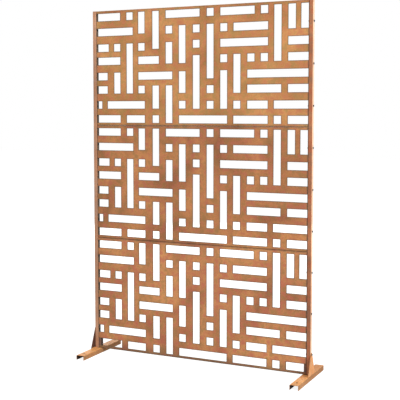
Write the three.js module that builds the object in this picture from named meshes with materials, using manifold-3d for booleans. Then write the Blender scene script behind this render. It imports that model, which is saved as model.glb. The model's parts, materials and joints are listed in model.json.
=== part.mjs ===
// Garden privacy screen: three cut-out sheet panels stacked between two square posts.
// Each post stands on a channel foot, braced by a gusset plate and a short spigot.
// Millimetres. X is across the screen, -Y is the front, Z is up from the floor.
import * as THREE from 'three';
import { mergeVertices } from 'three/addons/utils/BufferGeometryUtils.js';
import Module from 'manifold-3d';

// ---- driving dimensions -------------------------------------------------------------------

const CLEARANCE = 0.3; // left between pieces that touch
const SCREEN_WIDTH = 1220; // over the posts' outer faces
const PANEL_PITCH = 600; // from one seam to the next
const PANEL_NAMES = ['panel_bottom', 'panel_middle', 'panel_top'];

const POST_SIZE = 20;
const POST_WALL = 1.5;
const POST_CORNER = 2;

const SHEET = 1.5;
const PANEL_DEPTH = 20; // front face to the free edge of the folded sides
const PANEL_FOLD = 3.5; // outer radius of the folds
const PANEL_GAP = 0.5; // between panels, and between a panel and a post

const FOOT_LENGTH = 380;
const FOOT_WIDTH = 45;
const FOOT_HEIGHT = 25;
const FOOT_WALL = 2;
const FOOT_HOLE_DIAMETER = 10;
const FOOT_HOLE_FROM_END = 42;

const GUSSET_THICKNESS = 3;
const GUSSET_BASE = 98;
const GUSSET_TIP_RADIUS = 9;

const SPIGOT_WIDTH = 12.5;
const SPIGOT_DEPTH = 24;
const SPIGOT_HEIGHT = 80;

const BOLT_DIAMETER = 6;
const BOLT_HOLE_DIAMETER = 6.8;
const BOLT_LENGTH = 25;
const GUSSET_BOLT_LENGTH = 30;
const BOLT_HEAD_RADIUS = 5.25;
const BOLT_HEAD_HEIGHT = 3.3;
const BOLT_RIM_HEIGHT = 0.5; // the straight rim below the dome
const BOLT_TOP_RADIUS = 2.9; // the flat on top of the dome, round the socket
const BOLT_END_CHAMFER = 0.8;
const BOLT_SOCKET_ACROSS_FLATS = 4;
const BOLT_SOCKET_DEPTH = 2;
const NUT_ACROSS_FLATS = 10;
const NUT_THICKNESS = 3.2;

const BOLTS_PER_PANEL = 3;
const ROUND_SIDES = 12;
const FOLD_STEPS = 4;
const DOME_STEPS = 2;
const CUTTER_OVERRUN = 5; // how far a cutting tool runs past the faces that it cuts

// ---- the cut-out lattice ------------------------------------------------------------------

// Every panel has the same 16 columns (A to P) and 8 rows of openings. A run of letters is one
// wide opening, and the letters after "down" are openings that carry on into the row below.
const OPENING_WIDTH = 37;
const OPENING_HEIGHT = 38.5;
const COLUMN_LETTERS = 'ABCDEFGHIJKLMNOP';
// Left edges, from the outer face of the left post. A starts at the folded side of the panel.
const COLUMN_LEFT = [
  22.5, 130, 205, 275, 358, 435, 510, 589, 666, 740, 811, 885, 955, 1024, 1096, 1160.5,
];
// Top edges, from the top of the panel, in the left part (A to G) and the right part (H to P).
const ROWS = [
  { top: [15, 15], across: 'AB C D E FGH I JKL M N O P', down: 'DENOP' },
  { top: [93, 93], across: 'ABC D E F G H I J KLM N O P', down: 'EGIN' },
  { top: [175, 169], across: 'A B C D E F G H I JKLM N OP', down: 'CFGIN' },
  { top: [244, 245], across: 'AB C DE F G H I J K L M N OP', down: 'CHIK' },
  { top: [324, 323], across: 'A B C DEF G H I J K LMNOP', down: 'BCGHJK' },
  { top: [394, 396], across: 'A B C D E F G H I J K LMN OP', down: 'EFHJ' },
  { top: [473, 474], across: 'A BCD E F G H I J K LM NOP', down: 'F' },
  { top: [546.5, 547.5], across: 'AB CD E F GHIJ KLM N OP', down: '' },
];
const LAST_LEFT_COLUMN = COLUMN_LETTERS.indexOf('G');
// Where column A stands alone it ends at a bar of its own, and in row 7 column B starts early.
const FIRST_OPENING_RIGHT = { 3: 97, 5: 89, 6: 89, 7: 55 };
const EARLY_B_ROW = 7;
const EARLY_B_LEFT = 89;
// The tall openings that start in row 1 of these columns stop a little short.
const SHORT_BY = { D: 6, E: 7 };

// ---- sizes that follow --------------------------------------------------------------------

const HALF_WIDTH = SCREEN_WIDTH / 2;
const STAND_Z = FOOT_HEIGHT + CLEARANCE; // underside of everything that stands on a foot
const POST_HEIGHT = PANEL_PITCH * PANEL_NAMES.length;
const POST_X = HALF_WIDTH - POST_SIZE / 2;
const PANEL_WIDTH = SCREEN_WIDTH - 2 * (POST_SIZE + PANEL_GAP);
const PANEL_HEIGHT = PANEL_PITCH - PANEL_GAP;
const POCKET_WIDTH = PANEL_WIDTH - 2 * SHEET;
const FRONT_Y = -PANEL_DEPTH / 2;
const BOLT_SPACING = PANEL_PITCH / BOLTS_PER_PANEL;
const GUSSET_X = HALF_WIDTH + CLEARANCE;
const FOOT_X = GUSSET_X + GUSSET_THICKNESS - FOOT_WIDTH / 2;
const SPIGOT_X = POCKET_WIDTH / 2 - CLEARANCE - SPIGOT_WIDTH / 2;
const SPIGOT_FRONT_Y = FRONT_Y + SHEET + CLEARANCE;
const SPIGOT_NOTCH = SPIGOT_WIDTH + 3 * CLEARANCE; // cut from each end of the lowest panel's bottom fold

// ---- solids -------------------------------------------------------------------------------

const wasm = await Module();
wasm.setup();

function toSolid(geometry) {
  const bare = geometry.clone();
  bare.deleteAttribute('normal');
  bare.deleteAttribute('uv');
  const merged = mergeVertices(bare);
  return new wasm.Manifold(new wasm.Mesh({
    numProp: 3,
    vertProperties: new Float32Array(merged.attributes.position.array),
    triVerts: new Uint32Array(merged.index.array),
  }));
}

function toGeometry(solid) {
  const { vertProperties, triVerts } = solid.getMesh();
  const geometry = new THREE.BufferGeometry();
  geometry.setAttribute('position', new THREE.BufferAttribute(vertProperties, 3));
  geometry.setIndex(new THREE.BufferAttribute(triVerts, 1));
  geometry.computeVertexNormals();
  return geometry;
}

function cut(geometry, tools) {
  const solid = tools.reduce((body, tool) => body.subtract(toSolid(tool)), toSolid(geometry));
  return toGeometry(solid);
}

function box(x, y, z) {
  const geometry = new THREE.BoxGeometry(x[1] - x[0], y[1] - y[0], z[1] - z[0]);
  return geometry.translate((x[0] + x[1]) / 2, (y[0] + y[1]) / 2, (z[0] + z[1]) / 2);
}

// A prism of a shape, standing on the XY plane.
function upright(shape, height) {
  const options = { depth: height, bevelEnabled: false, curveSegments: FOLD_STEPS };
  return new THREE.ExtrudeGeometry(shape, options);
}

function roundedRectangle(width, depth, radius) {
  const x = width / 2;
  const y = depth / 2;
  const outline = new THREE.Path();
  outline.moveTo(-x + radius, -y);
  outline.lineTo(x - radius, -y);
  outline.absarc(x - radius, -y + radius, radius, -Math.PI / 2, 0);
  outline.lineTo(x, y - radius);
  outline.absarc(x - radius, y - radius, radius, 0, Math.PI / 2);
  outline.lineTo(-x + radius, y);
  outline.absarc(-x + radius, y - radius, radius, Math.PI / 2, Math.PI);
  outline.lineTo(-x, -y + radius);
  outline.absarc(-x + radius, -y + radius, radius, Math.PI, Math.PI * 1.5);
  return outline;
}

function rectangularTube(width, depth, wall, corner, height) {
  const outline = roundedRectangle(width, depth, corner);
  const shape = new THREE.Shape(outline.getPoints(FOLD_STEPS));
  shape.holes.push(roundedRectangle(width - 2 * wall, depth - 2 * wall, corner - wall));
  return upright(shape, height);
}

// A round rod along X, for cutting bolt holes.
function crossRod(diameter, x, y, z) {
  const rod = new THREE.CylinderGeometry(diameter / 2, diameter / 2, x[1] - x[0], ROUND_SIDES);
  return rod.rotateZ(Math.PI / 2).translate((x[0] + x[1]) / 2, y, z);
}

// ---- panel --------------------------------------------------------------------------------

// Half of a tray: a long section whose two front corners are rounded, lying along X.
function trayRun(across, depth, radius, length) {
  const half = across / 2;
  const section = new THREE.Shape();
  section.moveTo(half, depth);
  section.lineTo(-half, depth);
  section.lineTo(-half, radius);
  section.absarc(-half + radius, radius, radius, Math.PI, Math.PI * 1.5);
  section.lineTo(half - radius, 0);
  section.absarc(half - radius, radius, radius, -Math.PI / 2, 0);
  return upright(section, length).translate(0, 0, -length / 2);
}

// A block with its front face at Y 0 and all four front edges rounded.
function trayBlock(width, height, depth, radius) {
  const vertical = toSolid(trayRun(width, depth, radius, height));
  const level = toSolid(trayRun(height, depth, radius, width).rotateY(Math.PI / 2));
  return vertical.intersect(level);
}

function rowTop(row, column) {
  return ROWS[row].top[column > LAST_LEFT_COLUMN ? 1 : 0];
}

function openingEdges(row, first, last) {
  const rowNumber = row + 1;
  const early = rowNumber === EARLY_B_ROW && COLUMN_LETTERS[first] === 'B';
  const left = early ? EARLY_B_LEFT : COLUMN_LEFT[first];
  const alone = COLUMN_LETTERS[last] === 'A';
  const right = alone ? FIRST_OPENING_RIGHT[rowNumber] : COLUMN_LEFT[last] + OPENING_WIDTH;
  return [left, right];
}

// Each opening as its left, right, top and bottom edges on the panel.
function latticeOpenings() {
  const openings = [];
  ROWS.forEach((rowPlan, row) => {
    for (const run of rowPlan.across.split(' ')) {
      const first = COLUMN_LETTERS.indexOf(run[0]);
      const last = first + run.length - 1;
      const carriedOn = row > 0 && ROWS[row - 1].down.includes(run[0]);
      if (carriedOn && run.length === 1) continue;
      let lowest = row;
      while (run.length === 1 && ROWS[lowest].down.includes(run)) lowest += 1;
      const [left, right] = openingEdges(row, first, last);
      const short = row === 0 && lowest > row ? (SHORT_BY[run] ?? 0) : 0;
      const bottom = rowTop(lowest, last) + OPENING_HEIGHT - short;
      openings.push({ left, right, top: rowTop(row, first), bottom });
    }
  });
  return openings;
}

function panelGeometry(standsOnFeet) {
  const body = trayBlock(PANEL_WIDTH, PANEL_HEIGHT, PANEL_DEPTH, PANEL_FOLD);
  const pocketHeight = PANEL_HEIGHT - 2 * SHEET;
  const pocket = trayBlock(POCKET_WIDTH, pocketHeight, PANEL_DEPTH, PANEL_FOLD - SHEET);
  let panel = body.subtract(pocket.translate([0, SHEET, 0]));
  const throughSheet = [-CUTTER_OVERRUN, CUTTER_OVERRUN];
  for (const { left, right, top, bottom } of latticeOpenings()) {
    const x = [left - HALF_WIDTH, right - HALF_WIDTH];
    const z = [PANEL_PITCH / 2 - bottom, PANEL_PITCH / 2 - top];
    panel = panel.subtract(toSolid(box(x, throughSheet, z)));
  }
  const behindSheet = [SHEET, PANEL_DEPTH + CUTTER_OVERRUN];
  const bottomFold = [-PANEL_PITCH / 2, PANEL_FOLD - PANEL_HEIGHT / 2];
  for (const side of [-1, 1]) {
    if (standsOnFeet) {
      const notchEnds = [side * POCKET_WIDTH / 2, side * (POCKET_WIDTH / 2 - SPIGOT_NOTCH)];
      const corner = [Math.min(...notchEnds), Math.max(...notchEnds)];
      panel = panel.subtract(toSolid(box(corner, behindSheet, bottomFold)));
    }
    const sideX = side * PANEL_WIDTH / 2;
    const throughSide = [sideX - CUTTER_OVERRUN, sideX + CUTTER_OVERRUN];
    for (let bolt = 0; bolt < BOLTS_PER_PANEL; bolt += 1) {
      const z = (bolt - (BOLTS_PER_PANEL - 1) / 2) * BOLT_SPACING;
      const hole = crossRod(BOLT_HOLE_DIAMETER, throughSide, PANEL_DEPTH / 2, z);
      panel = panel.subtract(toSolid(hole));
    }
  }
  return toGeometry(panel);
}

// ---- posts and feet -----------------------------------------------------------------------

// Heights of one post's bolts above the foot, from the top down.
function boltHeights() {
  const count = BOLTS_PER_PANEL * PANEL_NAMES.length;
  return Array.from({ length: count }, (_, index) => POST_HEIGHT - (index + 0.5) * BOLT_SPACING);
}

function postGeometry() {
  const tube = rectangularTube(POST_SIZE, POST_SIZE, POST_WALL, POST_CORNER, POST_HEIGHT);
  const across = [-POST_SIZE, POST_SIZE];
  return cut(tube, boltHeights().map((z) => crossRod(BOLT_HOLE_DIAMETER, across, 0, z)));
}

// The hole is near the front end: on the left, the half turn makes that the other end of the channel.
function footGeometry(front) {
  const x = FOOT_WIDTH / 2;
  const section = new THREE.Shape();
  section.moveTo(-x, 0);
  section.lineTo(-x + FOOT_WALL, 0);
  section.lineTo(-x + FOOT_WALL, FOOT_HEIGHT - FOOT_WALL);
  section.lineTo(x - FOOT_WALL, FOOT_HEIGHT - FOOT_WALL);
  section.lineTo(x - FOOT_WALL, 0);
  section.lineTo(x, 0);
  section.lineTo(x, FOOT_HEIGHT - FOOT_WALL);
  section.absarc(x - FOOT_WALL, FOOT_HEIGHT - FOOT_WALL, FOOT_WALL, 0, Math.PI / 2);
  section.lineTo(-x + FOOT_WALL, FOOT_HEIGHT);
  section.absarc(-x + FOOT_WALL, FOOT_HEIGHT - FOOT_WALL, FOOT_WALL, Math.PI / 2, Math.PI);
  const channel = upright(section, FOOT_LENGTH).rotateX(Math.PI / 2).translate(0, FOOT_LENGTH / 2, 0);
  const radius = FOOT_HOLE_DIAMETER / 2;
  const drill = new THREE.CylinderGeometry(radius, radius, 2 * FOOT_HEIGHT, ROUND_SIDES);
  const holeY = front * (FOOT_LENGTH / 2 - FOOT_HOLE_FROM_END);
  return cut(channel, [drill.rotateX(Math.PI / 2).translate(0, holeY, FOOT_HEIGHT)]);
}

// The triangle's sloping edges run from the base corners to a round tip about the lowest bolt.
function gussetGeometry() {
  const boltHeight = BOLT_SPACING / 2;
  const base = GUSSET_BASE / 2;
  const toTip = Math.acos(GUSSET_TIP_RADIUS / Math.hypot(base, boltHeight));
  const lean = toTip - Math.atan2(boltHeight, base);
  const plate = new THREE.Shape();
  plate.moveTo(-base, 0);
  plate.lineTo(base, 0);
  plate.absarc(0, boltHeight, GUSSET_TIP_RADIUS, lean, Math.PI - lean);
  const hole = new THREE.Path();
  hole.absarc(0, boltHeight, BOLT_HOLE_DIAMETER / 2, 0, Math.PI * 2);
  plate.holes.push(hole);
  return upright(plate, GUSSET_THICKNESS).rotateX(Math.PI / 2).rotateZ(Math.PI / 2);
}

function spigotGeometry() {
  return rectangularTube(SPIGOT_WIDTH, SPIGOT_DEPTH, POST_WALL, POST_CORNER, SPIGOT_HEIGHT);
}

// ---- fasteners ----------------------------------------------------------------------------

// A domed socket-head bolt whose shank points along -X from the underside of its head at X 0.
function boltGeometry(length) {
  const shank = BOLT_DIAMETER / 2;
  const profile = [
    new THREE.Vector2(0, -length),
    new THREE.Vector2(shank - BOLT_END_CHAMFER, -length),
    new THREE.Vector2(shank, BOLT_END_CHAMFER - length),
    new THREE.Vector2(shank, 0),
    new THREE.Vector2(BOLT_HEAD_RADIUS, 0),
  ];
  for (let step = 0; step <= DOME_STEPS; step += 1) {
    const angle = (step / DOME_STEPS) * (Math.PI / 2);
    const radius = BOLT_TOP_RADIUS + (BOLT_HEAD_RADIUS - BOLT_TOP_RADIUS) * Math.cos(angle);
    const along = BOLT_RIM_HEIGHT + (BOLT_HEAD_HEIGHT - BOLT_RIM_HEIGHT) * Math.sin(angle);
    profile.push(new THREE.Vector2(radius, along));
  }
  profile.push(new THREE.Vector2(0, BOLT_HEAD_HEIGHT));
  const turned = new THREE.LatheGeometry(profile, ROUND_SIDES);
  const socketRadius = BOLT_SOCKET_ACROSS_FLATS / Math.sqrt(3);
  const socket = new THREE.CylinderGeometry(socketRadius, socketRadius, 2 * BOLT_SOCKET_DEPTH, 6);
  return cut(turned, [socket.translate(0, BOLT_HEAD_HEIGHT, 0)]).rotateZ(-Math.PI / 2);
}

// A hexagon nut lying against X 0 and reaching to -X.
function nutGeometry() {
  const radius = NUT_ACROSS_FLATS / Math.sqrt(3);
  const corners = Array.from({ length: 6 }, (_, corner) => {
    const angle = corner * Math.PI / 3;
    return new THREE.Vector2(radius * Math.cos(angle), radius * Math.sin(angle));
  });
  const hexagon = new THREE.Shape(corners);
  const bore = new THREE.Path();
  bore.absarc(0, 0, BOLT_HOLE_DIAMETER / 2, 0, Math.PI * 2);
  hexagon.holes.push(bore);
  return upright(hexagon, NUT_THICKNESS).rotateY(-Math.PI / 2);
}

// ---- assembly -----------------------------------------------------------------------------

const panelSteel = new THREE.MeshStandardMaterial({ color: 0xb4764a, roughness: 0.75, metalness: 0.2 });
const postSteel = new THREE.MeshStandardMaterial({ color: 0xa5704f, roughness: 0.7, metalness: 0.2 });
const footSteel = new THREE.MeshStandardMaterial({ color: 0xcf8f5c, roughness: 0.7, metalness: 0.2 });
const blackSteel = new THREE.MeshStandardMaterial({ color: 0x241c17, roughness: 0.5, metalness: 0.6 });

function place(parent, name, geometry, material, x, y, z) {
  const mesh = new THREE.Mesh(geometry, material.clone());
  mesh.name = name;
  mesh.position.set(x, y, z);
  parent.add(mesh);
  return mesh;
}

const screen = new THREE.Group();

PANEL_NAMES.forEach((name, index) => {
  const middle = STAND_Z + (index + 0.5) * PANEL_PITCH;
  place(screen, name, panelGeometry(index === 0), panelSteel, 0, FRONT_Y, middle);
});

// Everything on one side is built for the right-hand side, and turned half round for the left.
for (const side of ['left', 'right']) {
  const end = new THREE.Group();
  end.rotation.z = side === 'left' ? Math.PI : 0;
  screen.add(end);
  place(end, `post_${side}`, postGeometry(), postSteel, POST_X, 0, STAND_Z);
  const front = side === 'left' ? 1 : -1; // which way the front is before the half turn
  place(end, `foot_${side}`, footGeometry(front), footSteel, FOOT_X, 0, 0);
  place(end, `gusset_${side}`, gussetGeometry(), footSteel, GUSSET_X, 0, STAND_Z);

  const spigotY = -front * (SPIGOT_FRONT_Y + SPIGOT_DEPTH / 2); // it stays behind the front sheet
  place(end, `spigot_${side}`, spigotGeometry(), postSteel, SPIGOT_X, spigotY, STAND_Z);

  boltHeights().forEach((height, index) => {
    const lowest = index === BOLTS_PER_PANEL * PANEL_NAMES.length - 1;
    const headX = lowest ? GUSSET_X + GUSSET_THICKNESS + CLEARANCE : HALF_WIDTH + CLEARANCE;
    const length = lowest ? GUSSET_BOLT_LENGTH : BOLT_LENGTH;
    const nutX = POCKET_WIDTH / 2 - CLEARANCE;
    const number = index + 1;
    place(end, `bolt_${side}_${number}`, boltGeometry(length), blackSteel, headX, 0, STAND_Z + height);
    place(end, `nut_${side}_${number}`, nutGeometry(), blackSteel, nutX, 0, STAND_Z + height);
  });
}

export default screen;
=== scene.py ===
# Garden privacy screen: three cut-out steel panels stacked between two square posts, each post on
# a channel foot. Metres. X is across the screen, -Y is the front, Z is up from the floor.
import json
import math

import bmesh
import bpy
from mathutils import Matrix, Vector

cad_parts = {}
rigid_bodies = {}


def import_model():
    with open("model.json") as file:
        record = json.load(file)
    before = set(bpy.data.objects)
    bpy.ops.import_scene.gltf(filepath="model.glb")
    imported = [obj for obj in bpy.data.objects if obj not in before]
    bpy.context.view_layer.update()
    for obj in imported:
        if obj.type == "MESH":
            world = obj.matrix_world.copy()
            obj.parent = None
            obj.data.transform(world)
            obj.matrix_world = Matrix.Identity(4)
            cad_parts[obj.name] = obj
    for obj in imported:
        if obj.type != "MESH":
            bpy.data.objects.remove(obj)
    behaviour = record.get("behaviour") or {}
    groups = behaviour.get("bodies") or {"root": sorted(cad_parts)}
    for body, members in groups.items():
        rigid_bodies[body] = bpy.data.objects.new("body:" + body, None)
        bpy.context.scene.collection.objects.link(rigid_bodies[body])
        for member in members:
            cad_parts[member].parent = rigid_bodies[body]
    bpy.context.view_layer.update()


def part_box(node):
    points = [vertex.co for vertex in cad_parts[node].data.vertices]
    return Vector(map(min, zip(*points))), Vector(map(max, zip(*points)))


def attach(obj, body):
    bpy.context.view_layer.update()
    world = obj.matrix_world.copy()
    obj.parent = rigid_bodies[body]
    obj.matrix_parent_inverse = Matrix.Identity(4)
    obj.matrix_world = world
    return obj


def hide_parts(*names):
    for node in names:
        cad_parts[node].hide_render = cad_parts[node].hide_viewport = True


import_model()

# ---- The two feet ---------------------------------------------------------------------------
# Each foot is a strip of 2 mm mild steel folded down along both sides into a shallow channel that
# stands open side down, across the screen. A hole near its front end takes a ground screw.

MM = 0.001
SIDES = {"left": -1, "right": 1}
FOOT_WALL = 2 * MM
FOOT_BEND = 3 * MM  # outside radius
BEND_STEPS = 8
FOOT_HOLE = 10 * MM
FOOT_HOLE_FROM_END = 42 * MM
HOLE_REACH = 0.6 * FOOT_HOLE  # from its centre to just past its wall
OFF_THE_MIDDLE = 0.5 * MM  # a wall is further than this from the foot's middle
EDGE_SOFTNESS = 0.45 * MM  # the coat rounds every cut edge a little
EDGE_ANGLE = math.radians(38)  # a gentler edge belongs to a bend
HOLE_SIDES = 24
SAME_POINT = 0.001 * MM  # nearer than this, two points are one

# Which way a face looks is told by how much of its normal lies along an axis.
FLAT = 0.9999  # it is square on to the axis
TURNED = 0.9  # it has turned away, if less than this is along it
SIDEWAYS = 0.7
DOWNWARD = -0.5
SQUARE = 0.3  # it is edge on, if less than this is along it


def new_object(name, data):
    made = bpy.data.objects.new(name, data)
    bpy.context.scene.collection.objects.link(made)
    return made


def mesh_from(bm, name):
    """A mesh without doubled points, and nothing left of what had no size."""
    bmesh.ops.remove_doubles(bm, verts=bm.verts, dist=SAME_POINT)
    bmesh.ops.dissolve_degenerate(bm, edges=bm.edges, dist=SAME_POINT)
    mesh = bpy.data.meshes.new(name)
    bm.to_mesh(mesh)
    bm.free()
    return mesh


def bend(radius, steps=BEND_STEPS):
    """A right-angled bend as steps in from one face and down from the other, both from radius."""
    turns = [math.pi / 2 * step / steps for step in range(steps + 1)]
    return [(radius * (1 - math.cos(turn)), radius * (1 - math.sin(turn))) for turn in turns]


def add_sheet(piece, thickness):
    """Gives an outer skin the thickness of the metal, inwards."""
    wall = piece.modifiers.new("Sheet", "SOLIDIFY")
    wall.thickness = thickness
    wall.offset = -1
    wall.use_even_offset = True
    wall.use_quality_normals = True


def add(tree, kind, inputs=None, **settings):
    """Adds a node with its settings. inputs gives sockets, by name or number, a value or a link."""
    node = tree.nodes.new(kind)
    for setting, value in settings.items():
        setattr(node, setting, value)
    for socket, value in (inputs or {}).items():
        if isinstance(value, bpy.types.NodeSocket):
            tree.links.new(value, node.inputs[socket])
        else:
            node.inputs[socket].default_value = value
    return node


def empty_tree(owner):
    """The node tree of a material or of the world, without the nodes that it starts with."""
    owner.use_nodes = True
    owner.node_tree.nodes.clear()
    return owner.node_tree


def node_group(name, inputs, result):
    """A new Geometry Nodes tree, its inputs' identifiers by name, and their sockets inside it."""
    tree = bpy.data.node_groups.new(name, "GeometryNodeTree")
    identifiers = {}
    for label, kind in inputs.items():
        socket = tree.interface.new_socket(label, in_out="INPUT", socket_type=f"NodeSocket{kind}")
        identifiers[label] = socket.identifier
    tree.interface.new_socket(result, in_out="OUTPUT", socket_type="NodeSocketGeometry")
    return tree, identifiers, add(tree, "NodeGroupInput").outputs


def run_group(piece, tree, identifiers, values):
    """Runs a Geometry Nodes tree on a piece, with values for its inputs by name."""
    step = piece.modifiers.new(tree.name, "NODES")
    step.node_group = tree
    for label, value in values.items():
        step[identifiers[label]] = value


# The punch: a prism of so many sides is set on each point of a pattern, as large as the point
# says, and everything that the prisms meet is cut away.
punching, punch_inputs, given = node_group(
    "punching",
    {
        "Blank": "Geometry",
        "Pattern": "Object",
        "Sides": "Int",
        "Direction": "Vector",
        "Finish": "Material",
    },
    "Punched",
)
pattern = add(punching, "GeometryNodeObjectInfo", {"Object": given["Pattern"]})
half_turn = add(punching, "ShaderNodeMath", {0: math.pi, 1: given["Sides"]}, operation="DIVIDE")
to_corner = add(punching, "ShaderNodeMath", {0: half_turn.outputs[0]}, operation="COSINE")
radius = add(punching, "ShaderNodeMath", {0: 0.5, 1: to_corner.outputs[0]}, operation="DIVIDE")
prism = add(
    punching,
    "GeometryNodeMeshCylinder",
    {"Vertices": given["Sides"], "Radius": radius.outputs[0], "Depth": 1.0},
)
flat_down = add(punching, "ShaderNodeCombineXYZ", {"Z": half_turn.outputs[0]})
squared = add(
    punching,
    "GeometryNodeTransform",
    {"Geometry": prism.outputs["Mesh"], "Rotation": flat_down.outputs[0]},
)
size = add(punching, "GeometryNodeInputNamedAttribute", {"Name": "size"}, data_type="FLOAT_VECTOR")
punches = add(
    punching,
    "GeometryNodeInstanceOnPoints",
    {
        "Points": pattern.outputs["Geometry"],
        "Instance": squared.outputs[0],
        "Rotation": given["Direction"],
        "Scale": size.outputs["Attribute"],
    },
)
solid_punches = add(
    punching, "GeometryNodeRealizeInstances", {"Geometry": punches.outputs["Instances"]}
)
cut = add(
    punching,
    "GeometryNodeMeshBoolean",
    {"Mesh 1": given["Blank"], "Mesh 2": solid_punches.outputs[0]},
    operation="DIFFERENCE",
    solver="EXACT",
)
whole = add(punching, "GeometryNodeRealizeInstances", {"Geometry": cut.outputs["Mesh"]})
finished = add(
    punching,
    "GeometryNodeSetMaterial",
    {"Geometry": whole.outputs[0], "Material": given["Finish"]},
)
add(punching, "NodeGroupOutput", {"Punched": finished.outputs[0]})

ALONG_X = (0, math.pi / 2, 0)
ALONG_Y = (math.pi / 2, 0, 0)
ALONG_Z = (0, 0, 0)


def punch(piece, pattern, sides, direction, finish):
    """Punches holes: pattern lists each one's centre, and its width, height and depth of cut."""
    mesh = bpy.data.meshes.new("pattern")
    mesh.from_pydata([centre for centre, _ in pattern], [], [])
    sizes = mesh.attributes.new("size", "FLOAT_VECTOR", "POINT")
    sizes.data.foreach_set("vector", [n for _, size in pattern for n in size])
    points = new_object("pattern", mesh)
    points.hide_render = True
    run_group(
        piece,
        punching,
        punch_inputs,
        {"Pattern": points, "Sides": sides, "Direction": direction, "Finish": finish},
    )


def settle(piece):
    """Turns a piece and its modifiers into a plain mesh. Flat faces stay flat and bends smooth."""
    bpy.context.view_layer.update()
    evaluated = piece.evaluated_get(bpy.context.evaluated_depsgraph_get())
    plain = bpy.data.meshes.new_from_object(evaluated)
    piece.modifiers.clear()
    piece.data = plain
    for face in plain.polygons:
        face.use_smooth = max(abs(n) for n in face.normal) < FLAT
    for points in [o for o in bpy.data.objects if o.name.startswith("pattern")]:
        bpy.data.objects.remove(points)


def coat_faces(piece, finish, picked):
    """Gives another finish to the faces that picked names by their middle and the way they face."""
    piece.data.materials.append(finish)
    for face in piece.data.polygons:
        if picked(face.center, face.normal):
            face.material_index = len(piece.data.materials) - 1


def soften(piece, width, edge_finish):
    """Rounds the cut edges, and gives them a finish of their own."""
    piece.data.materials.append(edge_finish)
    bevel = piece.modifiers.new("Softened edges", "BEVEL")
    bevel.width = width
    bevel.segments = 2
    bevel.limit_method = "ANGLE"
    bevel.angle_limit = EDGE_ANGLE
    bevel.use_clamp_overlap = False
    bevel.material = len(piece.data.materials) - 1


def fit(piece, slot, *nodes):
    """Puts a finished piece in place of its CAD nodes."""
    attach(piece, "root")
    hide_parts(*nodes)


def srgb(code):
    """A hex colour as Blender's linear RGBA."""
    parts = [int(code[i : i + 2], 16) / 255 for i in (1, 3, 5)]
    return (*(c / 12.92 if c <= 0.04045 else ((c + 0.055) / 1.055) ** 2.4 for c in parts), 1)


# Rust-effect powder coat on mild steel, sprayed and baked: matt, opaque, in brown and ochre
# clouds a hand or two wide, with redder and duller flecks in them and a fine toothy grain. It
# gives the eye the look of weathered steel, without its loose scale or sheen.
CLOUD = 240 * MM
FLECK = 26 * MM
GRAIN = 5 * MM  # the real grain is under 1 mm, and is drawn coarser so that it shows
TOOTH = 1.6 * MM
TOOTH_HEIGHT = 0.12 * MM
GRAIN_SHARE = 0.28  # of the lightness; the clouds make the rest
WEAR = 0.1  # how far the roughness goes either way
RIM_SCORCH_AND_SHADE_COLOUR = "#574838"  # the dark rim, as much as the piece's own "scorch_and_painted_shade" attribute says: scorch and painted shade beside a cut, painted shade along a fold and the lowest edge


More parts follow.
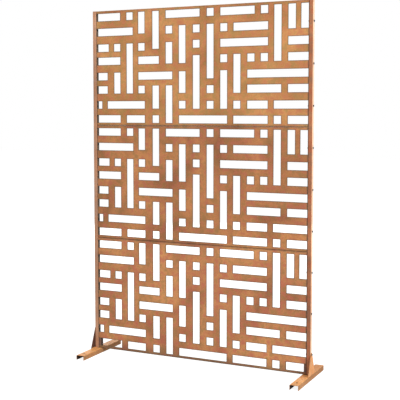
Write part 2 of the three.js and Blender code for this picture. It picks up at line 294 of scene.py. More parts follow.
def rust_effect_coat(name, dark, light, red, dull, roughness=0.72):
    """The coat in one batch's colours: dark and light clouds, with red and dull flecks."""
    material = bpy.data.materials.new(name)
    tree = empty_tree(material)
    place = add(tree, "ShaderNodeTexCoord").outputs["Object"]
    clouds = add(
        tree,
        "ShaderNodeTexNoise",
        {"Vector": place, "Scale": 1 / CLOUD, "Detail": 4.0, "Roughness": 0.6, "Distortion": 0.5},
    )
    grain = add(
        tree,
        "ShaderNodeTexNoise",
        {"Vector": place, "Scale": 1 / GRAIN, "Detail": 2.0, "Roughness": 0.6},
    )
    flecks = add(
        tree,
        "ShaderNodeTexNoise",
        {"Vector": place, "Scale": 1 / FLECK, "Detail": 3.0, "Roughness": 0.55},
    )
    grained = add(
        tree,
        "ShaderNodeMix",
        {0: GRAIN_SHARE, 2: clouds.outputs["Fac"], 3: grain.outputs["Fac"]},
    )
    lightness = add(
        tree,
        "ShaderNodeMapRange",
        {"Value": grained.outputs[0], "From Min": 0.36, "From Max": 0.64},
    )
    clouded = add(
        tree,
        "ShaderNodeMix",
        {0: lightness.outputs[0], 6: srgb(dark), 7: srgb(light)},
        data_type="RGBA",
    )
    redness = add(
        tree,
        "ShaderNodeMapRange",
        {"Value": flecks.outputs["Fac"], "From Min": 0.5, "From Max": 0.66, "To Max": 0.7},
    )
    dullness = add(
        tree,
        "ShaderNodeMapRange",
        {"Value": flecks.outputs["Fac"], "From Min": 0.5, "From Max": 0.34, "To Max": 0.55},
    )
    # The dark rim: scorch and painted shade beside a cut, painted shade along a fold and the lowest
    # edge.
    rim = add(tree, "ShaderNodeAttribute", attribute_name="scorch_and_painted_shade")
    colour = clouded.outputs[2]
    for share, code in (
        (redness.outputs[0], red),
        (dullness.outputs[0], dull),
        (rim.outputs["Fac"], RIM_SCORCH_AND_SHADE_COLOUR),
    ):
        mixed = add(tree, "ShaderNodeMix", {0: share, 6: colour, 7: srgb(code)}, data_type="RGBA")
        colour = mixed.outputs[2]
    tooth = add(
        tree, "ShaderNodeTexNoise", {"Vector": place, "Scale": 1 / TOOTH, "Detail": 2.0}
    )
    toothed = add(
        tree,
        "ShaderNodeBump",
        {"Height": tooth.outputs["Fac"], "Strength": 0.35, "Distance": TOOTH_HEIGHT},
    )
    worn = add(
        tree,
        "ShaderNodeMapRange",
        {
            "Value": grained.outputs[0],
            "From Min": 0.35,
            "From Max": 0.65,
            "To Min": roughness + WEAR,
            "To Max": roughness - WEAR,
        },
    )
    coat = add(
        tree,
        "ShaderNodeBsdfPrincipled",
        {
            "Base Color": colour,
            "Roughness": worn.outputs[0],
            "IOR": 1.5,
            "Specular IOR Level": 0.35,
            "Normal": toothed.outputs["Normal"],
        },
    )
    add(tree, "ShaderNodeOutputMaterial", {"Surface": coat.outputs[0]})
    return material


foot_coat = rust_effect_coat("coat_of_the_feet", "#a96c3c", "#d39756", "#b5753c", "#977756")
# Painted shade: the sides of the feet take a darker copy of their coat.
painted_shade_foot_side_coat = rust_effect_coat(
    "coat_of_the_foot_sides", "#7e5433", "#a47345", "#935f37", "#78593d"
)
# Painted shade, with some scorch: the cut edges and the slots' walls take a darker copy of the
# coat.
scorched_and_shaded_edge_coat = rust_effect_coat("coat_on_cut_edges", "#5a3a26", "#7a5236", "#6b4028", "#5c4434", 0.8)
# Painted shade: the insides of the folds, the channels and the foot holes, and the spigots' sides,
# take a near-black copy of the coat.
painted_shade_inside_coat = rust_effect_coat("thin_coat_inside", "#2a1b12", "#40291b", "#38221a", "#33271f", 0.85)

for side in SIDES:
    low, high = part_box(f"foot_{side}")
    corner = [(i, high.z - d) for i, d in bend(FOOT_BEND)]
    section = [(low.x, low.z)] + [(low.x + i, z) for i, z in corner]
    section += [(high.x - i, z) for i, z in corner[::-1]] + [(high.x, low.z)]
    bm = bmesh.new()
    ends = [[bm.verts.new((x, y, z)) for x, z in section] for y in (low.y, high.y)]
    for n in range(len(section) - 1):
        bm.faces.new([ends[0][n], ends[0][n + 1], ends[1][n + 1], ends[1][n]])
    foot = new_object(f"channel_foot_{side}", mesh_from(bm, "channel"))
    foot.data.materials.append(foot_coat)
    add_sheet(foot, FOOT_WALL)
    middle_x = (low.x + high.x) / 2
    hole = [((middle_x, low.y + FOOT_HOLE_FROM_END, high.z), (FOOT_HOLE,) * 3)]
    punch(foot, hole, HOLE_SIDES, ALONG_Z, foot_coat)
    settle(foot)

    def inside_channel(at, facing, middle_x=middle_x, top=high.z):
        under_the_top = facing.z < DOWNWARD and at.z > FOOT_WALL
        faces_the_middle = (at.x - middle_x) * facing.x < -OFF_THE_MIDDLE
        return under_the_top or (faces_the_middle and at.z < top - FOOT_WALL)

    def in_the_hole(at, facing, centre=hole[0][0]):
        return abs(facing.z) < SQUARE and math.dist(at.xy, centre[:2]) < HOLE_REACH

    # The sides take the painted shade.
    coat_faces(foot, painted_shade_foot_side_coat, lambda at, facing: abs(facing.x) > SIDEWAYS)
    coat_faces(foot, painted_shade_inside_coat, inside_channel)
    coat_faces(foot, painted_shade_inside_coat, in_the_hole)
    soften(foot, EDGE_SOFTNESS, scorched_and_shaded_edge_coat)
    fit(foot, "foot_finish", f"foot_{side}")

# ---- The two gussets ------------------------------------------------------------------------
# A gusset is a triangle of 3 mm steel plate, laser cut with a round tip and one bolt hole. It
# stands on the outer side of the foot, is welded to it, and braces the post from outside.

GUSSET_TIP = 9 * MM
BOLT_HOLE = 6.8 * MM
BOLT_SPACING = 200 * MM
TIP_STEPS = 16
THROUGH_GUSSET = 10 * MM  # how long the punch is, past both faces
# The left gusset takes a dark copy of the coat, painted shade, and the right one a bright copy,
# painted light.
SHADED_AND_LIT_GUSSET_COATS = {
    "left": rust_effect_coat(
        "coat_of_the_left_gusset", "#371b0f", "#482717", "#3b1b0f", "#331f17"
    ),
    "right": rust_effect_coat(
        "coat_of_the_right_gusset", "#b07246", "#dca066", "#bd7c48", "#9e7e64"
    ),
}

for side, coat in SHADED_AND_LIT_GUSSET_COATS.items():
    low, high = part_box(f"gusset_{side}")
    base = high.y
    tip_z = low.z + BOLT_SPACING / 2
    to_tip = math.acos(GUSSET_TIP / math.hypot(base, tip_z - low.z))
    lean = to_tip - math.atan2(tip_z - low.z, base)
    turns = [lean + (math.pi - 2 * lean) * step / TIP_STEPS for step in range(TIP_STEPS + 1)]
    outline = [(-base, low.z), (base, low.z)]
    outline += [(GUSSET_TIP * math.cos(t), tip_z + GUSSET_TIP * math.sin(t)) for t in turns]
    bm = bmesh.new()
    inner, outer = ([bm.verts.new((x, y, z)) for y, z in outline] for x in (low.x, high.x))
    bm.faces.new(outer)
    bm.faces.new(inner[::-1])
    for n in range(len(outline)):
        m = (n + 1) % len(outline)
        bm.faces.new([inner[n], inner[m], outer[m], outer[n]])
    gusset = new_object(f"gusset_plate_{side}", mesh_from(bm, "plate"))
    gusset.data.materials.append(coat)
    hole = [(((low.x + high.x) / 2, 0, tip_z), (BOLT_HOLE, BOLT_HOLE, THROUGH_GUSSET))]
    punch(gusset, hole, HOLE_SIDES, ALONG_X, coat)
    settle(gusset)
    soften(gusset, EDGE_SOFTNESS, scorched_and_shaded_edge_coat)
    fit(gusset, "foot_finish", f"gusset_{side}")

# ---- The two spigots ------------------------------------------------------------------------
# A spigot is a short upright length of rectangular steel tube welded on each foot. The folded side
# of the lowest panel stands between it and the post.

TUBE_WALL = 1.5 * MM
TUBE_CORNER = 2 * MM
CORNER_STEPS = 6
spigot_coat = rust_effect_coat("coat_of_the_spigots", "#684a42", "#835f52", "#714e3f", "#624e4c")


def rounded_ring(low, high, corner):
    """The outline of a tube seen from above, anticlockwise."""
    steps = bend(corner, CORNER_STEPS)
    ring = [(low.x + i, low.y + d) for i, d in steps]
    ring += [(high.x - i, low.y + d) for i, d in steps[::-1]]
    ring += [(high.x - i, high.y - d) for i, d in steps]
    return ring + [(low.x + i, high.y - d) for i, d in steps[::-1]]


def tube(name, low, high):
    """An upright rectangular tube with open ends."""
    wall = Vector((TUBE_WALL, TUBE_WALL, 0))
    outer = rounded_ring(low, high, TUBE_CORNER)
    inner = rounded_ring(low + wall, high - wall, TUBE_CORNER - TUBE_WALL)
    bm = bmesh.new()
    rings = [
        [bm.verts.new((x, y, z)) for x, y in ring]
        for ring, z in ((outer, low.z), (outer, high.z), (inner, high.z), (inner, low.z))
    ]
    for r, ring in enumerate(rings):
        above = rings[(r + 1) % 4]
        for n in range(len(ring)):
            m = (n + 1) % len(ring)
            bm.faces.new([ring[n], ring[m], above[m], above[n]])
    return new_object(name, mesh_from(bm, "tube"))


for side in SIDES:
    spigot = tube(f"spigot_tube_{side}", *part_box(f"spigot_{side}"))
    spigot.data.materials.append(spigot_coat)
    settle(spigot)
    # The spigots' sides take the painted shade.
    coat_faces(spigot, painted_shade_inside_coat, lambda at, facing: abs(facing.x) > SIDEWAYS)
    soften(spigot, EDGE_SOFTNESS, scorched_and_shaded_edge_coat)
    fit(spigot, "foot_finish", f"spigot_{side}")

# ---- The two posts --------------------------------------------------------------------------
# A post is 1.8 m of 20 mm square steel tube with 1.5 mm walls, drilled right through at each
# bolt, and stands on its foot just inside the gusset.

POST_COATS = {
    "left": rust_effect_coat("coat_of_the_left_post", "#9e7156", "#d09b77", "#ba8260", "#a58474"),
    "right": rust_effect_coat("coat_of_the_right_post", "#854f36", "#bc7b53", "#ac5a3b", "#7d624e"),
}
# Painted light: the outer faces of the posts take a paler, more even copy of the coat than the
# fronts.
painted_light_post_side_coat = rust_effect_coat(
    "coat_of_the_post_sides", "#cda182", "#ecc6a4", "#dcae8c", "#c8a892"
)
BOLTS_PER_POST = 9
THROUGH_POST = 30 * MM

for side, coat in POST_COATS.items():
    low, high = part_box(f"post_{side}")
    post = tube(f"square_post_{side}", low, high)
    post.data.materials.append(coat)
    middle_x = (low.x + high.x) / 2
    holes = [
        ((middle_x, 0, low.z + (n + 0.5) * BOLT_SPACING), (BOLT_HOLE, BOLT_HOLE, THROUGH_POST))
        for n in range(BOLTS_PER_POST)
    ]
    punch(post, holes, HOLE_SIDES, ALONG_X, coat)
    settle(post)
    coat_faces(post, painted_light_post_side_coat, lambda at, facing: at.x * facing.x > SIDEWAYS * abs(at.x))
    soften(post, EDGE_SOFTNESS, scorched_and_shaded_edge_coat)
    fit(post, "post_finish", f"post_{side}")

# ---- The three lattice panels ---------------------------------------------------------------
# Each panel is one sheet of 1.5 mm mild steel, laser cut with a lattice of square-cornered slots
# and folded back 20 mm along all four edges, so that it is a shallow tray. The trays butt edge to
# edge, and are bolted through their folded sides to the posts.

PANEL_PITCH = 600 * MM
SCREEN_WIDTH = 1220 * MM
SHEET = 1.5 * MM
FOLD_RADIUS = 3.5 * MM  # outside
BOLTS_PER_PANEL = 3
SPIGOT_NOTCH = 13.4 * MM  # cut from each end of the lowest panel's bottom fold
NOTCH_OFF_THE_FLAT = 0.1 * MM
THROUGH_SHEET = 10 * MM  # how long each punch is
THROUGH_FOLD = 8 * MM
PAST_THE_FOLD = 5 * MM
NEAREST_LINE = 0.5 * MM  # the skin has no lines closer together than this on its flat
RIM = 5 * MM  # how far the dark rim of a cut reaches: scorch and painted shade
LOWEST_EDGE_SHADE_RIM = 16 * MM  # and the painted shade along the lowest edge
FOLD_PAINTED_SHADE = 0.45  # how dark the painted shade of the rim is along a fold, where 1 is a cut edge
# How dark the painted shade is at the lowest edge, where 1 is a cut edge.
LOWEST_EDGE_SHADE = 0.8
CUT_WALL = 2.2 * MM  # the slots' walls are all nearer to the front than this
OUTLINE_WALL = 1.9 * MM  # and further than this from the panel's outline

# The slots stand in 16 columns (A to P) and 8 rows. A run of letters is one wide slot, and the
# letters that end a row are slots that carry on into the row below.
SLOT_WIDTH = 37
SLOT_HEIGHT = 38.5
COLUMNS = "ABCDEFGHIJKLMNOP"
# Left edges, from the outer face of the left post.
COLUMN_LEFT = [
    22.5, 130, 205, 275, 358, 435, 510, 589, 666, 740, 811, 885, 955, 1024, 1096, 1160.5,
]
# Top edges in columns A to G and in columns H to P, from the top of the panel, and the slots.
ROWS = [
    ((15, 15), "AB C D E FGH I JKL M N O P", "DENOP"),
    ((93, 93), "ABC D E F G H I J KLM N O P", "EGIN"),
    ((175, 169), "A B C D E F G H I JKLM N OP", "CFGIN"),
    ((244, 245), "AB C DE F G H I J K L M N OP", "CHIK"),
    ((324, 323), "A B C DEF G H I J K LMNOP", "BCGHJK"),
    ((394, 396), "A B C D E F G H I J K LMN OP", "EFHJ"),
    ((473, 474), "A BCD E F G H I J K LM NOP", "F"),
    ((546.5, 547.5), "AB CD E F GHIJ KLM N OP", ""),
]
# Where column A stands alone its slot has a right edge of its own, by row.
ALONE_RIGHT = {3: 97, 5: 89, 6: 89, 7: 55}
EARLY_LEFT = {("B", 7): 89}
SHORTER_BY = {"D": 6, "E": 7}  # the tall slots that start in row 1


def slots_of_a_panel():
    """Each slot's left, right, top and bottom edges on the panel, in millimetres."""
    slots = []
    for row, (tops, across, _) in enumerate(ROWS):
        for run in across.split():
            first = COLUMNS.index(run[0])
            last = first + len(run) - 1
            alone = len(run) == 1
            if alone and row > 0 and run in ROWS[row - 1][2]:
                continue  # the row above has it already
            lowest = row
            while alone and run in ROWS[lowest][2]:
                lowest += 1
            left = EARLY_LEFT.get((run[0], row + 1), COLUMN_LEFT[first])
            right = ALONE_RIGHT[row + 1] if run == "A" else COLUMN_LEFT[last] + SLOT_WIDTH
            shorter = SHORTER_BY.get(run, 0) if row == 0 and lowest > row else 0
            right_half = last > COLUMNS.index("G")
            bottom = ROWS[lowest][0][right_half] + SLOT_HEIGHT - shorter
            slots.append((left, right, tops[first > COLUMNS.index("G")], bottom))
    return slots


def skin_lines(low, high, folds, between):
    """Lines across a skin as places and depths: one fold, the flat with its lines, the other."""
    lines = [(low + i, d) for i, d in folds]
    for place in sorted(between):
        if lines[-1][0] + NEAREST_LINE < place < high - folds[-1][0] - NEAREST_LINE:
            lines.append((place, 0))
    return lines + [(high - i, d) for i, d in folds[::-1]]


def add_tray_skin(bm, low, high, radius, turned_in, lines_x, lines_z):
    """One side of a tray: its flat, and its four folds back to their free edges."""
    folds = [(0, high.y - low.y)] + bend(radius)
    across = skin_lines(low.x, high.x, folds, lines_x)
    upward = skin_lines(low.z, high.z, folds, lines_z)
    grid = [
        [bm.verts.new((x, low.y + max(dx, dz), z)) for z, dz in upward] for x, dx in across
    ]
    for i in range(len(across) - 1):
        for j in range(len(upward) - 1):
            ring = [grid[i][j], grid[i + 1][j], grid[i + 1][j + 1], grid[i][j + 1]]
            if turned_in:
                ring.reverse()
            depths = [v.co.y for v in ring]
            odd = [k for k in range(4) if depths.count(depths[k]) == 1]
            if len(odd) == 1:  # on a mitre: split it from the odd corner to the one across
                k = odd[0]
                bm.faces.new([ring[k], ring[(k + 1) % 4], ring[(k + 2) % 4]])
                bm.faces.new([ring[k], ring[(k + 2) % 4], ring[(k + 3) % 4]])
            else:
                bm.faces.new(ring)


def folded_tray(low, high, lines_x, lines_z):
    """The front skin and the back skin of the sheet, closed along the folds' free edges."""
    bm = bmesh.new()
    add_tray_skin(bm, low, high, FOLD_RADIUS, False, lines_x, lines_z)
    inner_low = low + Vector((SHEET, SHEET, SHEET))
    inner_high = high - Vector((SHEET, 0, SHEET))
    add_tray_skin(bm, inner_low, inner_high, FOLD_RADIUS - SHEET, True, lines_x, lines_z)
    bmesh.ops.remove_doubles(bm, verts=bm.verts, dist=SAME_POINT)
    bmesh.ops.dissolve_degenerate(bm, edges=bm.edges, dist=SAME_POINT)
    bmesh.ops.bridge_loops(bm, edges=[e for e in bm.edges if e.is_boundary])
    return mesh_from(bm, "tray")


PANEL_COATS = {
    "panel_bottom": rust_effect_coat("coat_bottom", "#95583e", "#da995e", "#ba6650", "#957244"),
    "panel_middle": rust_effect_coat("coat_middle", "#8a5336", "#ce8c54", "#af634d", "#8b6b3f"),
    "panel_top": rust_effect_coat("coat_top", "#9a6237", "#d7995d", "#bd7350", "#9c8049"),
}

# Painted shade deep in the folds, where two panels or a panel and a post meet: a darker copy of the
# coat.
painted_shade_groove_coat = rust_effect_coat(
    "coat_in_the_grooves", "#3f2a1c", "#5e402a", "#553522", "#473629", 0.82
)

for name, coat in PANEL_COATS.items():
    low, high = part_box(name)
    panel_top = (low.z + high.z + PANEL_PITCH) / 2
    slots = [
        (
            left * MM - SCREEN_WIDTH / 2,
            right * MM - SCREEN_WIDTH / 2,
            panel_top - lower * MM,
            panel_top - upper * MM,
        )
        for left, right, upper, lower in slots_of_a_panel()
    ]
    in_flat = FOLD_RADIUS + RIM
    lines_x = {x for left, right, _, _ in slots for x in (left - RIM, right + RIM)}
    lines_z = {z for _, _, lower, upper in slots for z in (lower - RIM, upper + RIM)}
    panel = new_object(
        f"lattice_{name}",
        folded_tray(
            low,
            high,
            lines_x | {low.x + in_flat, high.x - in_flat},
            lines_z | {low.z + in_flat, high.z - in_flat},
        ),
    )
    panel.data.materials.append(coat)
    cuts = [
        (
            ((left + right) / 2, low.y, (lower + upper) / 2),
            (right - left, upper - lower, THROUGH_SHEET),
        )
        for left, right, lower, upper in slots
    ]
    if name == "panel_bottom":
        notch_x = high.x - SHEET - SPIGOT_NOTCH / 2
        notch_front = low.y + SHEET + NOTCH_OFF_THE_FLAT
        notch_back = high.y + PAST_THE_FOLD
        cuts += [
            (
                (x, (notch_front + notch_back) / 2, low.z),
                (SPIGOT_NOTCH, 2 * FOLD_RADIUS, notch_back - notch_front),
            )
            for x in (-notch_x, notch_x)
        ]
    punch(panel, cuts, 4, ALONG_Y, coat)
    holes = [
        ((x, 0, panel_top - (n + 0.5) * BOLT_SPACING), (BOLT_HOLE, BOLT_HOLE, THROUGH_FOLD))
        for x in (low.x + SHEET / 2, high.x - SHEET / 2)
        for n in range(BOLTS_PER_PANEL)
    ]
    punch(panel, holes, HOLE_SIDES, ALONG_X, coat)
    settle(panel)

    def outline_gap(at, low=low, high=high):
        """How far a point is from the panel's outline, seen from the front."""
        return min(at.x - low.x, high.x - at.x, at.z - low.z, high.z - at.z)

    def scorch_and_painted_shade(at, bottom=low.z, slots=slots, lowest=name == "panel_bottom"):
        """1 on a cut edge, falling to 0 at the rim's limit: scorch and painted shade. The folded
        edges have a weaker rim of painted shade.
        """
        inward = max(0, outline_gap(at) - FOLD_RADIUS)
        most = FOLD_PAINTED_SHADE * max(0, 1 - inward / RIM)
        # The lowest panel is darker towards its bottom edge: painted shade.
        if lowest:
            upward = max(0, at.z - bottom - FOLD_RADIUS)
            most = max(most, LOWEST_EDGE_SHADE * (1 - upward / LOWEST_EDGE_SHADE_RIM))
        for left, right, lower, upper in slots:
            away = math.hypot(
                max(left - at.x, 0, at.x - right), max(lower - at.z, 0, at.z - upper)
            )
            most = max(most, 1 - away / RIM)
        return most

    rims = panel.data.attributes.new("scorch_and_painted_shade", "FLOAT", "POINT")
    rims.data.foreach_set("value", [scorch_and_painted_shade(v.co) for v in panel.data.vertices])

    def outward(at, facing, middle=(low.z + high.z) / 2):
        if abs(facing.x) > abs(facing.z):
            return facing.x * at.x > 0
        return facing.z * (at.z - middle) > 0

    def slot_wall(at, facing, limit=low.y + CUT_WALL):
        return abs(facing.y) < SQUARE and at.y < limit and outline_gap(at) > OUTLINE_WALL

    def inside_fold(at, facing, back=low.y + SHEET):
        return abs(facing.y) < TURNED and at.y > back and not outward(at, facing)

    def in_a_groove(at, facing):
        # Beside a post the whole bend is in the groove, and along a seam only its end.
        bent = abs(facing.y) < (TURNED if abs(facing.x) > abs(facing.z) else SQUARE)
        at_the_outline = outline_gap(at) < FOLD_RADIUS and outward(at, facing)
        return bent and at_the_outline and not slot_wall(at, facing)

    def topmost_fold(at, facing, start=high.z - FOLD_RADIUS):
        return facing.z > SQUARE and at.z > start

    coat_faces(panel, scorched_and_shaded_edge_coat, slot_wall)
    coat_faces(panel, painted_shade_inside_coat, inside_fold)
    coat_faces(panel, painted_shade_groove_coat, in_a_groove)
    if name == "panel_top":
        # Nothing stands on the topmost fold, so it gets no painted shade and is coated as the front
        # is.
        coat_faces(panel, coat, topmost_fold)
    fit(panel, "panel_finish", name)

# ---- The weld beads -------------------------------------------------------------------------
# Short fillet welds, laid as a row of overlapping pools, join each gusset to the top of its foot
# on the inner side, clear of the post, and each spigot at its back. The coat covers them.

WELD_RADIUS = 2 * MM
WELD_STEP = 1.7 * MM

welding, weld_inputs, given = node_group(
    "welding",
    {
        "Seams": "Geometry",
        "Pool radius": "Float",
        "Pool spacing": "Float",
        "Finish": "Material",
    },
    "Beads",
)
seams = add(welding, "GeometryNodeMeshToCurve", {"Mesh": given["Seams"]})
pools = add(
    welding,
    "GeometryNodeResampleCurve",
    {"Curve": seams.outputs[0], "Length": given["Pool spacing"]},
    mode="LENGTH",
)
pool = add(
    welding,
    "GeometryNodeMeshIcoSphere",
    {"Radius": given["Pool radius"], "Subdivisions": 2},
)
uneven = add(
    welding,
    "FunctionNodeRandomValue",
    {2: 0.85, 3: 1.08, "Seed": 4},
    data_type="FLOAT",
)
laid = add(
    welding,
    "GeometryNodeInstanceOnPoints",
    {"Points": pools.outputs[0], "Instance": pool.outputs["Mesh"], "Scale": uneven.outputs[1]},
)
beads = add(welding, "GeometryNodeRealizeInstances", {"Geometry": laid.outputs[0]})
smooth = add(welding, "GeometryNodeSetShadeSmooth", {"Geometry": beads.outputs[0]})
finished = add(
    welding,
    "GeometryNodeSetMaterial",
    {"Geometry": smooth.outputs[0], "Material": given["Finish"]},
)
add(welding, "NodeGroupOutput", {"Beads": finished.outputs[0]})

for side, sign in SIDES.items():
    foot_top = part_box(f"foot_{side}")[1].z
    gusset_low, gusset_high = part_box(f"gusset_{side}")
    post_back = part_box(f"post_{side}")[1].y
    spigot_low, spigot_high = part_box(f"spigot_{side}")
    inner_face = min(abs(gusset_low.x), abs(gusset_high.x)) * sign
    clear = post_back + 2 * WELD_RADIUS
    far = gusset_high.y - 2 * WELD_RADIUS
    back = spigot_high.y
    seams = [
        ((inner_face, clear, foot_top), (inner_face, far, foot_top)),
        ((inner_face, -clear, foot_top), (inner_face, -far, foot_top)),
        (
            (spigot_low.x + WELD_RADIUS, back, foot_top),
            (spigot_high.x - WELD_RADIUS, back, foot_top),
        ),
    ]
    mesh = bpy.data.meshes.new("seams")
    mesh.from_pydata([p for seam in seams for p in seam], [(0, 1), (2, 3), (4, 5)], [])
    welds = new_object(f"weld_beads_{side}", mesh)
    run_group(
        welds,
        welding,
        weld_inputs,
        {"Pool radius": WELD_RADIUS, "Pool spacing": WELD_STEP, "Finish": foot_coat},
    )
    settle(welds)
    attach(welds, "root")

# ---- The bolts and nuts ---------------------------------------------------------------------
# Eighteen M6 button-head bolts run level through the posts and the panels' folded sides, each into
# a hexagon nut inside the tray. The lowest on each side is longer, as it holds the gusset too.
# They are carbon steel, headed, thread-rolled and blackened.

BOLT_RADIUS = 3 * MM
THREAD_ROOT = 2.5 * MM
THREAD_PITCH = 1 * MM
THREAD_SHOWN = 5 * MM  # the rest of the thread is out of sight in the post, so it is left plain
HEAD_RADIUS = 5.25 * MM
HEAD_RIM = 0.5 * MM
HEAD_TOP_RADIUS = 2.9 * MM
HEAD_EDGE = 0.2 * MM
DOME_STEPS = 8
PANEL_BOLT = 25 * MM
GUSSET_BOLT = 30 * MM
END_RADIUS = 0.85 * THREAD_ROOT
END_CHAMFER = 0.4 * MM
THREAD_STEPS = 6  # rings to a turn of the thread
THREAD_START = 1.2 * MM  # the thread rises to its full height over this
THREAD_END = 0.3 * MM
FLANK = 2.6  # how steep the thread's flanks are; over 1 its crest is flat
NUT_ACROSS = 10 * MM
NUT_FACE = 0.475 * NUT_ACROSS  # radius of the flat inside the chamfer
NUT_CHAMFER = math.radians(30)
NUT_PLAY = 0.05 * MM
CLEARANCE = 0.3 * MM  # under each bolt's head
TURN_STEP = 0.7  # radians, from one fastener's angle to the next one's
ROUND = 32

# Black oxide on steel: a thin layer of magnetite that hides the metal, so it is not metallic. It
# is nearly black with a warm tinge, satin, and uneven where the bath took more or less.
BATH_MARK = 3 * MM
black_oxide = bpy.data.materials.new("black_oxide_steel")
tree = empty_tree(black_oxide)
place = add(tree, "ShaderNodeTexCoord").outputs["Object"]
bath = add(tree, "ShaderNodeTexNoise", {"Vector": place, "Scale": 1 / BATH_MARK, "Detail": 3.0})
blackness = add(
    tree,
    "ShaderNodeMix",
    {0: bath.outputs["Fac"], 6: srgb("#100c09"), 7: srgb("#211913")},
    data_type="RGBA",
)
satin = add(
    tree, "ShaderNodeMapRange", {"Value": bath.outputs["Fac"], "To Min": 0.5, "To Max": 0.7}
)
steel = add(
    tree,
    "ShaderNodeBsdfPrincipled",
    {
        "Base Color": blackness.outputs[2],
        "Roughness": satin.outputs[0],
        "IOR": 1.5,
        "Specular IOR Level": 0.15,
    },
)
add(tree, "ShaderNodeOutputMaterial", {"Surface": steel.outputs[0]})


def turned(profile):
    """A solid turned about X, from a profile of places along X and radii that may vary round."""
    bm = bmesh.new()
    angles = [2 * math.pi * n / ROUND for n in range(ROUND)]
    rings = []
    for at in profile:
        points = [(*at(a), a) for a in angles]
        rings.append([bm.verts.new((x, r * math.cos(a), r * math.sin(a))) for x, r, a in points])
    for first, second in zip(rings, rings[1:]):
        for n in range(ROUND):
            m = (n + 1) % ROUND
            bm.faces.new([first[n], first[m], second[m], second[n]])
    return bm, rings


def ring(x, radius):
    """A round ring of a turned profile."""
    return lambda a: (x, radius)


def bolt_mesh(length, head_height):
    """A button-head bolt, without its socket: head on +X, shank along -X from X 0."""
    profile = [ring(-length, END_RADIUS)]
    steps = round(THREAD_SHOWN / THREAD_PITCH * THREAD_STEPS)
    for step in range(steps + 1):
        x = -length + END_CHAMFER + (THREAD_SHOWN - END_CHAMFER) * step / steps

        def thread(a, x=x):
            turn = (x / THREAD_PITCH + a / (2 * math.pi)) % 1
            crest = min(1, FLANK * (1 - abs(2 * turn - 1)))
            taper = min(1, (x + length) / THREAD_START)
            return x, THREAD_ROOT + (BOLT_RADIUS - THREAD_ROOT) * crest * taper

        profile.append(thread)
    profile += [
        ring(-length + THREAD_SHOWN + THREAD_END, BOLT_RADIUS),
        ring(0, BOLT_RADIUS),
        ring(0, HEAD_RADIUS - HEAD_EDGE),
        ring(HEAD_EDGE, HEAD_RADIUS),
    ]
    for step in range(DOME_STEPS + 1):
        turn = math.pi / 2 * step / DOME_STEPS
        r = HEAD_TOP_RADIUS + (HEAD_RADIUS - HEAD_TOP_RADIUS) * math.cos(turn)
        x = HEAD_RIM + (head_height - HEAD_RIM) * math.sin(turn)
        profile.append(ring(x, r))
    bm, rings = turned(profile)
    bm.faces.new(rings[0][::-1])
    bm.faces.new(rings[-1])
    return mesh_from(bm, "bolt")


def nut_mesh(thickness):
    """A hexagon nut on X 0 that reaches to -X, its corners chamfered to a circle on both faces."""

    def corner(a):
        return NUT_ACROSS / 2 / math.cos((a + math.pi / 6) % (math.pi / 3) - math.pi / 6)

    def chamfer(x, inward):
        return lambda a: (x + inward * (corner(a) - NUT_FACE) * math.tan(NUT_CHAMFER), corner(a))

    bore = BOLT_RADIUS + NUT_PLAY
    profile = [
        ring(0, bore),
        ring(-thickness, bore),
        ring(-thickness, NUT_FACE),
        chamfer(-thickness, 1),
        chamfer(0, -1),
        ring(0, NUT_FACE),
        ring(0, bore),
    ]
    bm, _ = turned(profile)
    return mesh_from(bm, "nut")


fixing, fixing_inputs, given = node_group(
    "fixing",
    {"Places": "Geometry", "Fastener": "Object", "Finish": "Material"},
    "Fixed",
)
fastener = add(fixing, "GeometryNodeObjectInfo", {"Object": given["Fastener"]})
facing = add(fixing, "GeometryNodeInputNamedAttribute", {"Name": "turn"}, data_type="FLOAT_VECTOR")
driven = add(
    fixing,
    "GeometryNodeInstanceOnPoints",
    {
        "Points": given["Places"],
        "Instance": fastener.outputs["Geometry"],
        "Rotation": facing.outputs["Attribute"],
    },
)
realized = add(fixing, "GeometryNodeRealizeInstances", {"Geometry": driven.outputs[0]})
finished = add(
    fixing,
    "GeometryNodeSetMaterial",
    {"Geometry": realized.outputs[0], "Material": given["Finish"]},
)
add(fixing, "NodeGroupOutput", {"Fixed": finished.outputs[0]})


def drive(name, fastener, nodes, proud):
    """Sets a fastener at each CAD node. It stands proud of its seat by so much."""
    places = []
    turns = []
    for n, node in enumerate(nodes):
        low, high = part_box(node)
        sign = 1 if low.x > 0 else -1
        seat = max(abs(low.x), abs(high.x)) - proud
        places.append((sign * seat, (low.y + high.y) / 2, (low.z + high.z) / 2))
        # Each stops at its own angle, as they are tightened by hand.
        turns += [n * TURN_STEP, 0, 0 if sign > 0 else math.pi]
    mesh = bpy.data.meshes.new(name)
    mesh.from_pydata(places, [], [])
    turn = mesh.attributes.new("turn", "FLOAT_VECTOR", "POINT")
    turn.data.foreach_set("vector", turns)
    placed = new_object(name, mesh)
    one = new_object("pattern_fastener", fastener)
    one.hide_render = True
    run_group(placed, fixing, fixing_inputs, {"Fastener": one, "Finish": black_oxide})
    settle(placed)
    fit(placed, "black_fastener", *nodes)


upper = [f"bolt_{side}_{n}" for side in SIDES for n in range(1, BOLTS_PER_POST)]
lowest = [f"bolt_{side}_{BOLTS_PER_POST}" for side in SIDES]
nuts = [f"nut_{side}_{n}" for side in SIDES for n in range(1, BOLTS_PER_POST + 1)]
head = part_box(upper[-1])[1].x - (SCREEN_WIDTH / 2 + CLEARANCE)
nut_low, nut_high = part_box(nuts[0])
drive("panel_bolts", bolt_mesh(PANEL_BOLT, head), upper, head)
drive("gusset_bolts", bolt_mesh(GUSSET_BOLT, head), lowest, head)
drive("hexagon_nuts", nut_mesh(nut_high.x - nut_low.x), nuts, 0)

# ---- The floor, the light and the camera ----------------------------------------------------
# Not part of the screen: a plain white studio floor and background, soft light from above, from
# the right, from low in front and from behind, and a camera where the photograph was taken from.

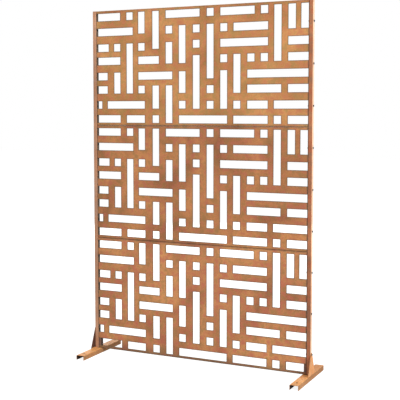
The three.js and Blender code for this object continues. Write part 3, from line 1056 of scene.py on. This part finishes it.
floor = new_object("floor", bpy.data.meshes.new("floor"))
bm = bmesh.new()
bmesh.ops.create_grid(bm, x_segments=1, y_segments=1, size=20)
bm.to_mesh(floor.data)
bm.free()


def seen_ray(tree):
    """1 for a ray that the camera sees, straight on or by way of gloss or glass."""
    path = add(tree, "ShaderNodeLightPath").outputs
    first = add(
        tree,
        "ShaderNodeMath",
        {0: path["Is Camera Ray"], 1: path["Is Glossy Ray"]},
        operation="MAXIMUM",
    )
    return add(
        tree,
        "ShaderNodeMath",
        {0: first.outputs[0], 1: path["Is Transmission Ray"]},
        operation="MAXIMUM",
    ).outputs[0]


FLOOR_GLOW = 0.9  # with its own lit colour this is white, and the screen's shadow still shows
white = bpy.data.materials.new("studio_floor")
tree = empty_tree(white)
paint = add(tree, "ShaderNodeBsdfDiffuse", {"Color": srgb("#959595")})
level = add(
    tree, "ShaderNodeMapRange", {"Value": seen_ray(tree), "To Min": 0.0, "To Max": FLOOR_GLOW}
)
glow = add(tree, "ShaderNodeEmission", {"Color": (1, 1, 1, 1), "Strength": level.outputs[0]})
lit = add(tree, "ShaderNodeAddShader", {0: paint.outputs[0], 1: glow.outputs[0]})
add(tree, "ShaderNodeOutputMaterial", {"Surface": lit.outputs[0]})
floor.data.materials.append(white)

world = bpy.data.worlds.new("studio")
bpy.context.scene.world = world
tree = empty_tree(world)
level = add(
    tree, "ShaderNodeMapRange", {"Value": seen_ray(tree), "To Min": 0.35, "To Max": 1.0}
)
sky = add(tree, "ShaderNodeBackground", {"Color": (1, 1, 1, 1), "Strength": level.outputs[0]})
add(tree, "ShaderNodeOutputWorld", {"Surface": sky.outputs[0]})


MIDDLE = Vector((0, 0, 0.9))


def lamp(name, place, size, power):
    """A square soft lamp that faces the middle of the screen."""
    data = bpy.data.lights.new(name, "AREA")
    data.shape = "SQUARE"
    data.size = size
    data.energy = power
    made = new_object(name, data)
    made.location = place
    made.rotation_euler = (MIDDLE - Vector(place)).to_track_quat("-Z", "Y").to_euler()


lamp("overhead", (0.6, -1.4, 6.0), 4.0, 240)
lamp("key", (8.0, -2.6, 3.4), 3.8, 860)
lamp("front", (-1.6, -4.6, 0.7), 2.6, 34)
lamp("back", (-2.6, 5.0, 1.9), 3.2, 150)

camera = new_object("camera", bpy.data.cameras.new("camera"))
camera.data.sensor_width = 36
camera.data.lens = 80.76
camera.data.shift_y = -0.065
camera.location = (1.972, -4.0808, 1.299)
camera.rotation_euler = (math.radians(90 - 3.988), 0, math.radians(25.631))
bpy.context.scene.camera = camera
bpy.context.scene.view_settings.view_transform = "Standard"
